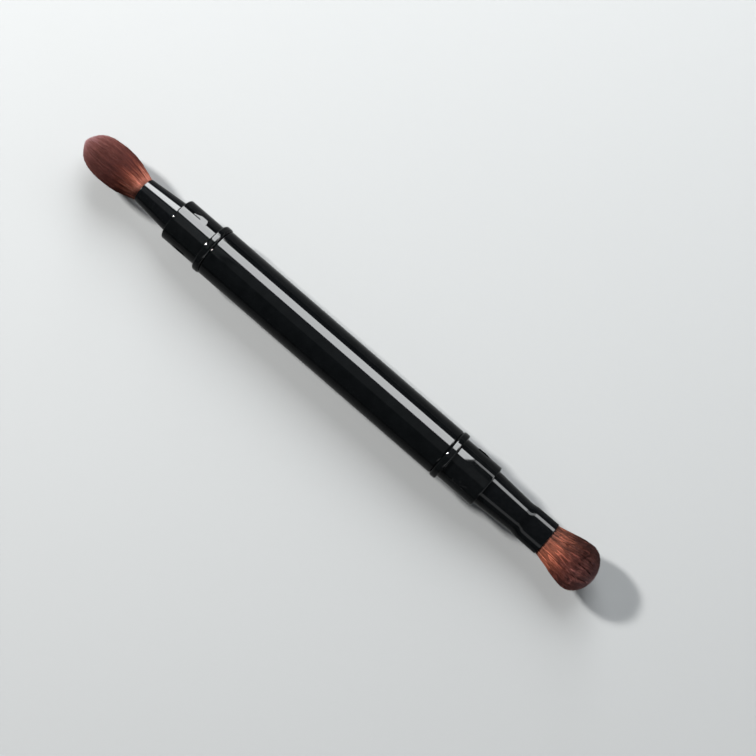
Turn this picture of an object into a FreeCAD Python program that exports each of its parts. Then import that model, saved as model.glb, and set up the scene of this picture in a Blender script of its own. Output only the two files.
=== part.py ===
"""Double ended brush: a hollow barrel, a moulded collar pushed into each end,
a metal ferrule seated in each collar, and a hair tuft set in resin in each ferrule.

Frame: origin at the middle of the barrel, on its axis. +X runs along the axis
from the small egg-shaped tuft (side a) to the large flared tuft (side b).
+Z is up, square to the wide side of the oval mouth on side b. Millimetres.

Every end piece is drawn in a local frame whose x = 0 is the barrel's end face and
whose +X points outwards. Its Placement then carries it to its side of the barrel.
"""
import os
import sys

import FreeCAD
import Part
import Sketcher

V = FreeCAD.Vector

# ---------------------------------------------------------------- driving sizes
# name, value in mm (degrees for angles), what it is
SIZES = [
    ("barrel_length", 65.4, "visible barrel, end face to end face"),
    ("barrel_od", 11.4, "barrel outside diameter"),
    ("barrel_bore", 9.0, "barrel inside diameter"),
    ("barrel_edge", 0.3, "rounding of the barrel's outer end edges"),
    ("barrel_lead", 0.2, "chamfer inside each barrel end"),
    ("bead_od", 11.9, "bead ring outside diameter"),
    ("bead_width", 1.75, "bead ring width along the axis"),
    ("bead_round", 0.6, "rounding of both bead edges"),
    ("neck_od", 10.3, "cap seat diameter"),
    ("neck_root", 0.15, "fillet where the neck meets the bead"),
    ("neck_length", 9.4, "neck from the bead to its end face"),
    ("neck_bevel", 0.62, "radial height of the neck's end bevel"),
    ("neck_bevel_run", 0.55, "length of the end bevel along the axis"),
    ("spigot_length", 12.0, "plug of the collar inside the barrel"),
    ("spigot_bore", 6.4, "hole through the spigot"),
    ("spigot_lead", 0.6, "lead bevel on the spigot's tip"),
    ("socket_depth", 9.0, "depth of the ferrule's socket in the neck"),
    ("socket_lead", 0.1, "bevel at the socket's mouth"),
    ("nub_start", 4.5, "inner end of a snap nub, from the barrel's end"),
    ("nub_crest_in", 5.1, "inner end of the nub's crest"),
    ("nub_crest_out", 5.8, "outer end of the nub's crest"),
    ("nub_end", 8.1, "outer end of the nub's ramp"),
    ("nub_height", 0.21, "crest height over the neck"),
    ("nub_radius", 1.2, "cross-section radius of the nub at its crest"),
    ("nub_sunk", 0.06, "how far the nub's ends sit under the neck's surface"),
    ("nub_a_angle", 43.0, "first nub of side a from the top, degrees"),
    ("nub_b_angle", 36.0, "first nub of side b from the top, degrees"),
    ("nub_count", 3, "snap nubs around each neck"),
    ("ferrule_wall", 0.3, "sheet thickness of both ferrules"),
    ("ferrule_lip", 0.1, "rounding of the ferrules' mouth edges"),
    ("ferrule_a_rear_od", 7.7, "ferrule a inside and at the neck"),
    ("ferrule_a_mouth_od", 5.96, "ferrule a at its mouth"),
    ("ferrule_a_length", 9.6, "ferrule a outside the neck"),
    ("ferrule_b_rear_od", 8.7, "ferrule b inside and at the neck"),
    ("ferrule_b_waist_od", 7.6, "ferrule b where the pinch begins"),
    ("ferrule_b_cone", 9.45, "round tapered stretch of ferrule b"),
    ("ferrule_b_pinch", 2.25, "stretch that turns from round to oval"),
    ("ferrule_b_oval", 5.0, "oval stretch up to the mouth"),
    ("ferrule_b_wide", 8.0, "oval mouth, wide way (along Y)"),
    ("ferrule_b_thin", 6.0, "oval mouth, thin way (along Z)"),
    ("root_a_depth", 7.0, "hair root of tuft a inside its ferrule"),
    ("root_b_depth", 9.0, "hair root of tuft b inside its ferrule"),
    ("glue_length", 4.0, "resin plug behind each hair root"),
    ("tuft_a_length", 16.85, "tuft a from the ferrule's mouth to its tip"),
    ("tuft_a_belly", 9.0, "widest place of tuft a, from the mouth"),
    ("tuft_a_width", 8.86, "largest diameter of tuft a"),
    ("tuft_a_nose", 3.1, "radius of the tip of tuft a"),
    ("tuft_b_thin", 0.74, "thickness of tuft b over its width"),
]

doc = FreeCAD.newDocument("DoubleEndedBrush")
sheet = doc.addObject("Spreadsheet::Sheet", "Dims")
sheet.set("A1", "size")
sheet.set("B1", "value")
sheet.set("C1", "meaning")
for row, (alias, value, note) in enumerate(SIZES, start=2):
    sheet.set("A%d" % row, alias)
    sheet.set("B%d" % row, str(value))
    sheet.set("C%d" % row, note)
    sheet.setAlias("B%d" % row, alias)
doc.recompute()


class Dim:
    """A size as both the text of a cell formula and its present number."""

    def __init__(self, text, value):
        self.text = text
        self.value = float(value)

    def _with(self, other, sign):
        if not isinstance(other, Dim):
            other = Dim(repr(float(other)), other)
        number = {
            "+": lambda p, q: p + q,
            "-": lambda p, q: p - q,
            "*": lambda p, q: p * q,
            "/": lambda p, q: p / q,
        }[sign](self.value, other.value)
        return Dim("(%s %s %s)" % (self.text, sign, other.text), number)

    def __add__(self, other):
        return self._with(other, "+")

    def __sub__(self, other):
        return self._with(other, "-")

    def __mul__(self, other):
        return self._with(other, "*")

    def __truediv__(self, other):
        return self._with(other, "/")


D = {alias: Dim("Dims.%s" % alias, value) for alias, value, note in SIZES}
ZERO = Dim("0", 0)


# ---------------------------------------------------------------- helpers
def new_body(label):
    body = doc.addObject("PartDesign::Body", label)
    body.Label = label
    return body


def origin_item(body, role):
    for item in body.Origin.OriginFeatures:
        if item.Role == role:
            return item
    raise RuntimeError("no " + role)


def new_sketch(body, name, role):
    sk = body.newObject("Sketcher::SketchObject", name)
    sk.AttachmentSupport = [(origin_item(body, role), "")]
    sk.MapMode = "FlatFace"
    return sk


def pin_point(sk, geo, pos, x, y, name):
    """Hold a sketch point at x, y from the origin by two sizes."""
    for axis, kind, size in (("x", "DistanceX", x), ("y", "DistanceY", y)):
        if abs(size.value) < 1e-9:
            # on the other axis line: y = 0 is the horizontal line (-1), x = 0 the vertical (-2)
            line = -2 if axis == "x" else -1
            sk.addConstraint(Sketcher.Constraint("PointOnObject", geo, pos, line))
        else:
            i = sk.addConstraint(Sketcher.Constraint(kind, -1, 1, geo, pos, size.value))
            sk.renameConstraint(i, "%s_%s" % (name, axis))
            sk.setExpression("Constraints.%s_%s" % (name, axis), size.text)


def closed_outline(sk, points):
    """Straight-sided closed outline. points is a list of (x, y) sizes."""
    n = len(points)
    for i in range(n):
        a, b = points[i], points[(i + 1) % n]
        sk.addGeometry(Part.LineSegment(V(a[0].value, a[1].value, 0), V(b[0].value, b[1].value, 0)), False)
    for i in range(n):
        sk.addConstraint(Sketcher.Constraint("Coincident", i, 2, (i + 1) % n, 1))
    for i, (x, y) in enumerate(points):
        pin_point(sk, i, 1, x, y, "p%d" % i)


def revolve(body, name, points, cut=False, role="XZ_Plane"):
    """Turn an outline drawn in the XZ plane (x along the axis, y the radius) about X."""
    sk = new_sketch(body, name + "_outline", role)
    closed_outline(sk, points)
    doc.recompute()
    before = body.Shape.Volume if body.Tip is not None else 0.0
    feature = body.newObject("PartDesign::Groove" if cut else "PartDesign::Revolution", name)
    feature.Profile = sk
    feature.ReferenceAxis = (sk, ["H_Axis"])
    feature.Angle = 360.0
    doc.recompute()
    body.Tip = feature
    doc.recompute()
    after = body.Shape.Volume
    if (cut and not after < before - 1e-3) or (not cut and not after > before + 1e-3):
        raise RuntimeError("%s changed nothing: %.3f -> %.3f" % (name, before, after))
    sk.Visibility = False
    return feature


def circle_edges(shape, x, radius, tol=0.02):
    """Names of the full circular edges about the local X axis at x with this radius."""
    names = []
    for i, e in enumerate(shape.Edges, start=1):
        c = e.Curve
        if isinstance(c, Part.Circle) and abs(c.Center.x - x) < tol and abs(c.Radius - radius) < tol \
                and abs(c.Center.y) < tol and abs(c.Center.z) < tol:
            names.append("Edge%d" % i)
    if not names:
        raise RuntimeError("no edge at x=%.3f r=%.3f" % (x, radius))
    return names


def round_edges(body, name, base, edges, size):
    f = body.newObject("PartDesign::Fillet", name)
    f.Base = (base, edges)
    f.Radius = size.value
    f.setExpression("Radius", size.text)
    doc.recompute()
    body.Tip = f
    doc.recompute()
    return f


def bevel_edges(body, name, base, edges, size):
    f = body.newObject("PartDesign::Chamfer", name)
    f.Base = (base, edges)
    f.Size = size.value
    f.setExpression("Size", size.text)
    doc.recompute()
    body.Tip = f
    doc.recompute()
    return f


def oval_sketch(body, name, x, wide, thin):
    """An ellipse square to X at local x: wide along Y, thin along Z (full sizes)."""
    sk = new_sketch(body, name, "YZ_Plane")
    sk.AttachmentOffset = FreeCAD.Placement(V(0, 0, x.value), FreeCAD.Rotation())
    sk.setExpression("AttachmentOffset.Base.z", x.text)
    if abs(wide.value - thin.value) < 1e-6:
        sk.addGeometry(Part.Circle(V(0, 0, 0), V(0, 0, 1), wide.value / 2), False)
        sk.addConstraint(Sketcher.Constraint("Coincident", 0, 3, -1, 1))
        i = sk.addConstraint(Sketcher.Constraint("Radius", 0, wide.value / 2))
        sk.renameConstraint(i, "round")
        sk.setExpression("Constraints.round", (wide / 2).text)
    else:
        sk.addGeometry(Part.Ellipse(V(wide.value / 2, 0, 0), V(0, thin.value / 2, 0), V(0, 0, 0)), False)
        sk.exposeInternalGeometry(0)
        sk.addConstraint(Sketcher.Constraint("Coincident", 0, 3, -1, 1))
        sk.addConstraint(Sketcher.Constraint("Horizontal", 1))
        i = sk.addConstraint(Sketcher.Constraint("Distance", 1, wide.value))
        sk.renameConstraint(i, "wide")
        sk.setExpression("Constraints.wide", wide.text)
        i = sk.addConstraint(Sketcher.Constraint("Distance", 2, thin.value))
        sk.renameConstraint(i, "thin")
        sk.setExpression("Constraints.thin", thin.text)
    doc.recompute()
    sk.Visibility = False
    return sk


def loft(body, name, sketches, cut=False, ruled=False):
    before = body.Shape.Volume if body.Tip is not None else 0.0
    f = body.newObject("PartDesign::SubtractiveLoft" if cut else "PartDesign::AdditiveLoft", name)
    f.Profile = sketches[0]
    f.Sections = [(s, [""]) for s in sketches[1:]]
    f.Ruled = ruled
    f.Closed = False
    doc.recompute()
    body.Tip = f
    doc.recompute()
    after = body.Shape.Volume
    if (cut and not after < before - 1e-3) or (not cut and not after > before + 1e-3):
        raise RuntimeError("%s changed nothing: %.3f -> %.3f" % (name, before, after))
    return f


def put_on_side(body, side):
    """Carry an end piece from its local frame to side a (-X) or side b (+X)."""
    if side == "b":
        body.Placement = FreeCAD.Placement(V(D["barrel_length"].value / 2, 0, 0), FreeCAD.Rotation())
        body.setExpression("Placement.Base.x", "Dims.barrel_length / 2")
    else:
        # half a turn about Z: local +X then points to -X
        body.Placement = FreeCAD.Placement(V(-D["barrel_length"].value / 2, 0, 0), FreeCAD.Rotation(V(0, 0, 1), 180))
        body.setExpression("Placement.Base.x", "-Dims.barrel_length / 2")
    doc.recompute()


parts = []

# ---------------------------------------------------------------- barrel_tube
half = D["barrel_length"] / 2
barrel = new_body("barrel_tube")
sk = new_sketch(barrel, "barrel_wall", "YZ_Plane")
sk.AttachmentOffset = FreeCAD.Placement(V(0, 0, -half.value), FreeCAD.Rotation())
sk.setExpression("AttachmentOffset.Base.z", "-Dims.barrel_length / 2")
for i, key in enumerate(("barrel_od", "barrel_bore")):
    sk.addGeometry(Part.Circle(V(0, 0, 0), V(0, 0, 1), D[key].value / 2), False)
    sk.addConstraint(Sketcher.Constraint("Coincident", i, 3, -1, 1))
    c = sk.addConstraint(Sketcher.Constraint("Diameter", i, D[key].value))
    sk.renameConstraint(c, key)
    sk.setExpression("Constraints." + key, D[key].text)
doc.recompute()
pad = barrel.newObject("PartDesign::Pad", "barrel_length_pad")
pad.Profile = sk
pad.Length = D["barrel_length"].value
pad.setExpression("Length", D["barrel_length"].text)
doc.recompute()
barrel.Tip = pad
doc.recompute()
r_out, r_in = D["barrel_od"].value / 2, D["barrel_bore"].value / 2
names = circle_edges(pad.Shape, half.value, r_out) + circle_edges(pad.Shape, -half.value, r_out)
f = round_edges(barrel, "barrel_outer_edges", pad, names, D["barrel_edge"])
names = circle_edges(f.Shape, half.value, r_in) + circle_edges(f.Shape, -half.value, r_in)
bevel_edges(barrel, "barrel_inner_lead", f, names, D["barrel_lead"])
sk.Visibility = False
parts.append(barrel)


# ---------------------------------------------------------------- collars
def make_collar(side):
    """Bead ring, stepped neck with snap nubs and a spigot, one moulding."""
    body = new_body("collar_" + side)
    spigot_r = D["barrel_bore"] / 2
    bead_r = D["bead_od"] / 2
    neck_r = D["neck_od"] / 2
    bw = D["bead_width"]
    end = bw + D["neck_length"]
    bevel = D["neck_bevel"]
    lead = D["spigot_lead"]
    tip = ZERO - D["spigot_length"]
    turned = revolve(body, "collar_%s_turned" % side, [
        (tip, ZERO),
        (tip, spigot_r - lead / 2),
        (tip + lead, spigot_r),
        (ZERO, spigot_r),
        (ZERO, bead_r),
        (bw, bead_r),
        (bw, neck_r),
        (end - D["neck_bevel_run"], neck_r),
        (end, neck_r - bevel),
        (end, ZERO),
    ])
    names = circle_edges(turned.Shape, 0.0, bead_r.value) + circle_edges(turned.Shape, bw.value, bead_r.value)
    f = round_edges(body, "collar_%s_bead_edges" % side, turned, names, D["bead_round"])
    names = circle_edges(f.Shape, bw.value, neck_r.value)
    f = round_edges(body, "collar_%s_neck_root" % side, f, names, D["neck_root"])

    # one nub: a small spindle lying along the neck, mostly sunk in its wall,
    # with a long ramp on its outer side and a short one on its inner side
    sk = new_sketch(body, "collar_%s_nub_outline" % side, "XZ_Plane")
    angle = D["nub_%s_angle" % side]
    # local x is the brush axis, so turning about it walks the nub around the neck
    sk.AttachmentOffset = FreeCAD.Placement(V(0, 0, 0), FreeCAD.Rotation(V(1, 0, 0), angle.value))
    sk.setExpression("AttachmentOffset.Rotation.Angle", angle.text)
    crest = neck_r + D["nub_height"]
    centre = crest - D["nub_radius"]
    foot = neck_r - D["nub_sunk"]
    pts = [
        (D["nub_start"], centre),
        (D["nub_start"], foot),
        (D["nub_crest_in"], crest),
        (D["nub_crest_out"], crest),
        (D["nub_end"], foot),
        (D["nub_end"], centre),
    ]
    closed_outline(sk, pts)
    doc.recompute()
    before = body.Shape.Volume
    nub = body.newObject("PartDesign::Revolution", "collar_%s_nub" % side)
    nub.Profile = sk
    nub.ReferenceAxis = (sk, ["Edge6"])     # the outline's own base line
    nub.Angle = 360.0
    doc.recompute()
    body.Tip = nub
    doc.recompute()
    one = body.Shape.Volume - before
    ring = body.newObject("PartDesign::PolarPattern", "collar_%s_nubs" % side)
    ring.Originals = [nub]
    ring.Axis = (origin_item(body, "X_Axis"), [""])
    ring.Angle = 360.0
    ring.Occurrences = int(D["nub_count"].value)
    ring.setExpression("Occurrences", "Dims.nub_count")
    doc.recompute()
    body.Tip = ring
    doc.recompute()
    grown = body.Shape.Volume - before
    if not (one > 1e-3 and abs(grown / one - D["nub_count"].value) < 0.05):
        raise RuntimeError("nubs of side %s: one %.4f, all %.4f" % (side, one, grown))
    sk.Visibility = False

    # ferrule socket from the neck's end, then a smaller hole through the spigot
    socket_r = D["ferrule_%s_rear_od" % side] / 2
    through_r = D["spigot_bore"] / 2
    lip = D["socket_lead"]
    floor = end - D["socket_depth"]
    revolve(body, "collar_%s_socket" % side, [
        (tip - 0.5, ZERO),
        (tip - 0.5, through_r),
        (floor, through_r),
        (floor, socket_r),
        (end - lip, socket_r),
        (end, socket_r + lip),
        (end + 0.5, socket_r + lip),
        (end + 0.5, ZERO),
    ], cut=True)
    put_on_side(body, side)
    parts.append(body)
    return body


make_collar("a")
make_collar("b")

wall = D["ferrule_wall"]

# ---------------------------------------------------------------- ferrule_a, tuft_a, glue_plug_a
neck_end_a = D["bead_width"] + D["neck_length"]
mouth_a = neck_end_a + D["ferrule_a_length"]
rear_a = neck_end_a - D["socket_depth"]
ra0 = D["ferrule_a_rear_od"] / 2            # outside radius at the neck
ra1 = D["ferrule_a_mouth_od"] / 2           # outside radius at the mouth

ferrule_a = new_body("ferrule_a")
cone = revolve(ferrule_a, "ferrule_a_drawn", [
    (rear_a, ra0 - wall),
    (rear_a, ra0),
    (neck_end_a, ra0),
    (mouth_a, ra1),
    (mouth_a, ra1 - wall),
    (neck_end_a, ra0 - wall),
])
names = circle_edges(cone.Shape, mouth_a.value, ra1.value)
round_edges(ferrule_a, "ferrule_a_lip", cone, names, D["ferrule_lip"])
put_on_side(ferrule_a, "a")
parts.append(ferrule_a)

# the root's back face, and the inner cone's radius there
root_a = mouth_a - D["root_a_depth"]
root_a_r = (ra0 - wall) - (ra0 - ra1) * ((root_a - neck_end_a) / D["ferrule_a_length"])

tuft_a = new_body("tuft_a")
sk = new_sketch(tuft_a, "tuft_a_outline", "XZ_Plane")
length, belly, nose = D["tuft_a_length"], D["tuft_a_belly"], D["tuft_a_nose"]
belly_r = D["tuft_a_width"] / 2
mouth_r = ra1 - wall
tip = mouth_a + length
bx, br, nr = (mouth_a + belly).value, belly_r.value, nose.value
# flank: one arc from the mouth to the belly, level at the belly
rf = (belly.value ** 2 + (br - mouth_r.value) ** 2) / (2 * (br - mouth_r.value))
# shoulder: an arc that leaves the belly level and runs into the nose arc
cn = tip.value - nr
dx = cn - bx
rs = (dx * dx + br * br - nr * nr) / (2 * (br - nr))
ux, uy = dx / (rs - nr), (rs - br) / (rs - nr)
px, py = bx + rs * ux, br - rs + rs * uy


def arc(cx, cy, radius, p_from, p_to):
    """Counter-clockwise arc between two points of a circle."""
    import math
    a0 = math.atan2(p_from[1] - cy, p_from[0] - cx)
    a1 = math.atan2(p_to[1] - cy, p_to[0] - cx)
    return Part.ArcOfCircle(Part.Circle(V(cx, cy, 0), V(0, 0, 1), radius), a0, a1)


m = (mouth_a.value, mouth_r.value)
b = (bx, br)
p = (px, py)
t_ = (tip.value, 0.0)
sk.addGeometry(Part.LineSegment(V(root_a.value, 0, 0), V(root_a.value, root_a_r.value, 0)), False)   # 0 back
sk.addGeometry(Part.LineSegment(V(root_a.value, root_a_r.value, 0), V(m[0], m[1], 0)), False)        # 1 root side
sk.addGeometry(arc(bx, br - rf, rf, b, m), False)                                                     # 2 flank
sk.addGeometry(arc(bx, br - rs, rs, p, b), False)                                                     # 3 shoulder
sk.addGeometry(arc(cn, 0.0, nr, t_, p), False)                                                        # 4 nose
sk.addGeometry(Part.LineSegment(V(t_[0], 0, 0), V(root_a.value, 0, 0)), False)                        # 5 axis
for g1, p1, g2, p2 in ((0, 2, 1, 1), (1, 2, 2, 2), (4, 1, 5, 1), (5, 2, 0, 1)):
    sk.addConstraint(Sketcher.Constraint("Coincident", g1, p1, g2, p2))
sk.addConstraint(Sketcher.Constraint("Tangent", 2, 1, 3, 2))
sk.addConstraint(Sketcher.Constraint("Tangent", 3, 1, 4, 2))
pin_point(sk, 0, 1, root_a, ZERO, "back")
pin_point(sk, 0, 2, root_a, root_a_r, "root")
pin_point(sk, 1, 2, mouth_a, mouth_r, "mouth")
pin_point(sk, 2, 1, mouth_a + belly, belly_r, "belly")
sk.addConstraint(Sketcher.Constraint("Vertical", 2, 3, 2, 1))
sk.addConstraint(Sketcher.Constraint("PointOnObject", 4, 3, -1))
i = sk.addConstraint(Sketcher.Constraint("Radius", 4, nr))
sk.renameConstraint(i, "nose")
sk.setExpression("Constraints.nose", nose.text)
pin_point(sk, 4, 1, tip, ZERO, "tip")
doc.recompute()
hair = tuft_a.newObject("PartDesign::Revolution", "tuft_a_hair")
hair.Profile = sk
hair.ReferenceAxis = (sk, ["H_Axis"])
hair.Angle = 360.0
doc.recompute()
tuft_a.Tip = hair
doc.recompute()
sk.Visibility = False
put_on_side(tuft_a, "a")
parts.append(tuft_a)

glue_a = new_body("glue_plug_a")
glue_a_back = root_a - D["glue_length"]
revolve(glue_a, "glue_plug_a_fill", [
    (glue_a_back, ZERO),
    (glue_a_back, ra0 - wall),
    (neck_end_a, ra0 - wall),
    (root_a, root_a_r),
    (root_a, ZERO),
])
put_on_side(glue_a, "a")
parts.append(glue_a)

# ---------------------------------------------------------------- ferrule_b, tuft_b, glue_plug_b
neck_end_b = D["bead_width"] + D["neck_length"]
rear_b = neck_end_b - D["socket_depth"]
pinch_b = neck_end_b + D["ferrule_b_cone"]
oval_b = pinch_b + D["ferrule_b_pinch"]
mouth_b = oval_b + D["ferrule_b_oval"]
rb0 = D["ferrule_b_rear_od"] / 2
rb1 = D["ferrule_b_waist_od"] / 2
wide_b, thin_b = D["ferrule_b_wide"], D["ferrule_b_thin"]

ferrule_b = new_body("ferrule_b")
# solid outside first: round rear and taper, pinch, oval
revolve(ferrule_b, "ferrule_b_round", [
    (rear_b, ZERO),
    (rear_b, rb0),
    (neck_end_b, rb0),
    (pinch_b, rb1),
    (pinch_b, ZERO),
])
s0 = oval_sketch(ferrule_b, "ferrule_b_pinch_start", pinch_b, rb1 * 2, rb1 * 2)
s1 = oval_sketch(ferrule_b, "ferrule_b_pinch_end", oval_b, wide_b, thin_b)
loft(ferrule_b, "ferrule_b_pinched", [s0, s1], ruled=True)
s2 = oval_sketch(ferrule_b, "ferrule_b_oval_start", oval_b, wide_b, thin_b)
s3 = oval_sketch(ferrule_b, "ferrule_b_mouth", mouth_b, wide_b, thin_b)
loft(ferrule_b, "ferrule_b_oval_wall", [s2, s3], ruled=True)
# then the same three stretches inside, one sheet thickness smaller
revolve(ferrule_b, "ferrule_b_round_inside", [
    (rear_b - 0.5, ZERO),
    (rear_b - 0.5, rb0 - wall),
    (neck_end_b, rb0 - wall),
    (pinch_b, rb1 - wall),
    (pinch_b, ZERO),
], cut=True)
c0 = oval_sketch(ferrule_b, "ferrule_b_inside_start", pinch_b, rb1 * 2 - wall * 2, rb1 * 2 - wall * 2)
c1 = oval_sketch(ferrule_b, "ferrule_b_inside_end", oval_b, wide_b - wall * 2, thin_b - wall * 2)
loft(ferrule_b, "ferrule_b_pinched_inside", [c0, c1], cut=True, ruled=True)
c2 = oval_sketch(ferrule_b, "ferrule_b_inside_oval", oval_b, wide_b - wall * 2, thin_b - wall * 2)
c3 = oval_sketch(ferrule_b, "ferrule_b_inside_mouth", mouth_b, wide_b - wall * 2, thin_b - wall * 2)
loft(ferrule_b, "ferrule_b_oval_inside", [c2, c3], cut=True, ruled=True)
put_on_side(ferrule_b, "b")
parts.append(ferrule_b)

root_b = mouth_b - D["root_b_depth"]
root_b_r = (rb0 - wall) - (rb0 - rb1) * ((root_b - neck_end_b) / D["ferrule_b_cone"])

tuft_b = new_body("tuft_b")
revolve(tuft_b, "tuft_b_root", [
    (root_b, ZERO),
    (root_b, root_b_r),
    (pinch_b, rb1 - wall),
    (pinch_b, ZERO),
])
h0 = oval_sketch(tuft_b, "tuft_b_pinch_start", pinch_b, rb1 * 2 - wall * 2, rb1 * 2 - wall * 2)
h1 = oval_sketch(tuft_b, "tuft_b_pinch_end", oval_b, wide_b - wall * 2, thin_b - wall * 2)
loft(tuft_b, "tuft_b_pinched", [h0, h1], ruled=True)
h2 = oval_sketch(tuft_b, "tuft_b_neck_start", oval_b, wide_b - wall * 2, thin_b - wall * 2)
h3 = oval_sketch(tuft_b, "tuft_b_neck_end", mouth_b, wide_b - wall * 2, thin_b - wall * 2)
loft(tuft_b, "tuft_b_oval", [h2, h3], ruled=True)
# the flared head: half widths at distances from the mouth, flattened by tuft_b_thin
FLARE = [(0.7, 3.92), (2.0, 4.33), (4.0, 4.85), (6.0, 5.23), (8.0, 5.35), (9.3, 5.26),
         (10.3, 4.82), (11.2, 3.95), (11.95, 2.75), (12.45, 1.55)]
for k, (dist, half_w) in enumerate(FLARE):
    sheet.set("E%d" % (k + 2), str(dist))
    sheet.set("F%d" % (k + 2), str(half_w * 2))
    sheet.setAlias("E%d" % (k + 2), "flare_at_%s" % "abcdefghij"[k])
    sheet.setAlias("F%d" % (k + 2), "flare_wide_%s" % "abcdefghij"[k])
doc.recompute()
sections = [oval_sketch(tuft_b, "tuft_b_head_0", mouth_b, wide_b - wall * 2, thin_b - wall * 2)]
for k, (dist, half_w) in enumerate(FLARE):
    at = Dim("Dims.flare_at_%s" % "abcdefghij"[k], dist)
    w = Dim("Dims.flare_wide_%s" % "abcdefghij"[k], half_w * 2)
    sections.append(oval_sketch(tuft_b, "tuft_b_head_%d" % (k + 1), mouth_b + at, w, w * D["tuft_b_thin"]))
loft(tuft_b, "tuft_b_head", sections)
put_on_side(tuft_b, "b")
parts.append(tuft_b)

glue_b = new_body("glue_plug_b")
glue_b_back = root_b - D["glue_length"]
glue_b_r = (rb0 - wall) - (rb0 - rb1) * ((glue_b_back - neck_end_b) / D["ferrule_b_cone"])
revolve(glue_b, "glue_plug_b_fill", [
    (glue_b_back, ZERO),
    (glue_b_back, glue_b_r),
    (root_b, root_b_r),
    (root_b, ZERO),
])
put_on_side(glue_b, "b")
parts.append(glue_b)

# ---------------------------------------------------------------- checks and files
doc.recompute()
bad = ["%s %s" % (o.Name, o.State) for o in doc.Objects if "Invalid" in o.State or "Error" in o.State]
for body in parts:
    s = body.Shape
    if s.isNull() or not s.isValid() or len(s.Solids) != 1:
        bad.append("%s has no single valid solid" % body.Label)
if bad:
    sys.exit("not written: " + "; ".join(bad))

os.makedirs("parts", exist_ok=True)
for body in parts:
    s = body.Shape
    box = s.BoundBox
    s.exportStep("parts/%s.step" % body.Label)
    print("%-12s vol %9.2f mm3  x %8.3f..%8.3f  y %7.3f..%7.3f  z %7.3f..%7.3f" % (
        body.Label, s.Volume, box.XMin, box.XMax, box.YMin, box.YMax, box.ZMin, box.ZMax))
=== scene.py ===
import math

import bpy
import numpy as np
from mathutils import Matrix, Vector


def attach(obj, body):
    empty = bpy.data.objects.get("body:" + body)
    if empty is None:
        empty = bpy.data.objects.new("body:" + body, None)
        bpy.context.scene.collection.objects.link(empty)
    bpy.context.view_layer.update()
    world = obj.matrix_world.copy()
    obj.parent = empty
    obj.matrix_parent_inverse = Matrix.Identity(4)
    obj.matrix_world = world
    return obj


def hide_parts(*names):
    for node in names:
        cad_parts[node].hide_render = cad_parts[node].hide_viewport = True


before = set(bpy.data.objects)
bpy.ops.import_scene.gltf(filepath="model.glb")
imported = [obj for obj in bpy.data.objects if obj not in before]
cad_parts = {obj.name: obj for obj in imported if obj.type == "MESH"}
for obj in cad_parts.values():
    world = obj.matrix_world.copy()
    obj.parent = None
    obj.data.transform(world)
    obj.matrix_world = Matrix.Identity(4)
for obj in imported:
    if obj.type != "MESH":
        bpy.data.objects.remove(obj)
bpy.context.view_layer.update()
scene = bpy.context.scene
MM = 0.001


# ------------------------------------------------------------------ camera
# The brush is seen almost from above. All lengths here in millimetres.
def make_camera():
    foot_x, side_y, height = 33.65, 2.4, 318.5      # the eye, over the flared end's neck
    look_x = 11.4                                   # where the view's middle meets the axis
    turn = math.radians(40.87)                      # how far the brush is turned in the picture
    eye = Vector((foot_x, side_y, height)) * MM
    target = Vector((look_x, side_y, 0.0)) * MM
    back = (eye - target).normalized()
    along = Vector((1, 0, 0))
    along = (along - back * along.dot(back)).normalized()
    across = back.cross(along).normalized()         # +Y in the picture plane
    right = along * math.cos(turn) + across * math.sin(turn)
    up = -along * math.sin(turn) + across * math.cos(turn)
    data = bpy.data.cameras.new("camera")
    data.sensor_width = 36.0
    data.lens = 36.0 * 1500.0 / 756.0
    data.clip_start, data.clip_end = 0.01, 20.0
    cam = bpy.data.objects.new("camera", data)
    m = Matrix((right, up, back)).transposed().to_4x4()
    m.translation = eye
    cam.matrix_world = m
    scene.collection.objects.link(cam)
    scene.camera = cam


make_camera()
scene.view_settings.view_transform = "Standard"
scene.view_settings.look = "None"


# ------------------------------------------------------------------ floor and light
def make_floor():
    z = -5.97 * MM
    n = 24
    size = 3.0
    verts = [(size * (i / n - 0.5), size * (j / n - 0.5), z) for j in range(n + 1) for i in range(n + 1)]
    faces = [(j * (n + 1) + i, j * (n + 1) + i + 1, (j + 1) * (n + 1) + i + 1, (j + 1) * (n + 1) + i)
             for j in range(n) for i in range(n)]
    me = bpy.data.meshes.new("floor")
    me.from_pydata(verts, [], faces)
    ob = bpy.data.objects.new("floor", me)
    scene.collection.objects.link(ob)
    mat = bpy.data.materials.new("floor_paper")
    mat.use_nodes = True
    bsdf = mat.node_tree.nodes["Principled BSDF"]
    bsdf.inputs["Base Color"].default_value = (0.43, 0.44, 0.445, 1)
    bsdf.inputs["Roughness"].default_value = 0.85
    bsdf.inputs["Specular IOR Level"].default_value = 0.2
    me.materials.append(mat)
    return ob


make_floor()


def area_light(name, centre, aim, width, height, watts, color=(1, 1, 1), roll=0.0):
    """Rectangular soft light at centre, facing aim; width runs along X before the roll."""
    data = bpy.data.lights.new(name, "AREA")
    data.shape = "RECTANGLE"
    data.size, data.size_y = width, height
    data.energy = watts
    data.color = color
    ob = bpy.data.objects.new(name, data)
    c, t = Vector(centre), Vector(aim)
    back = (c - t).normalized()
    x = Vector((1, 0, 0))
    x = (x - back * x.dot(back)).normalized()
    y = back.cross(x)
    m = Matrix((x, y, back)).transposed().to_4x4() @ Matrix.Rotation(roll, 4, "Z")
    m.translation = c
    ob.matrix_world = m
    scene.collection.objects.link(ob)
    return ob


def radiance_watts(radiance, width, height):
    return radiance * math.pi * width * height


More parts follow.
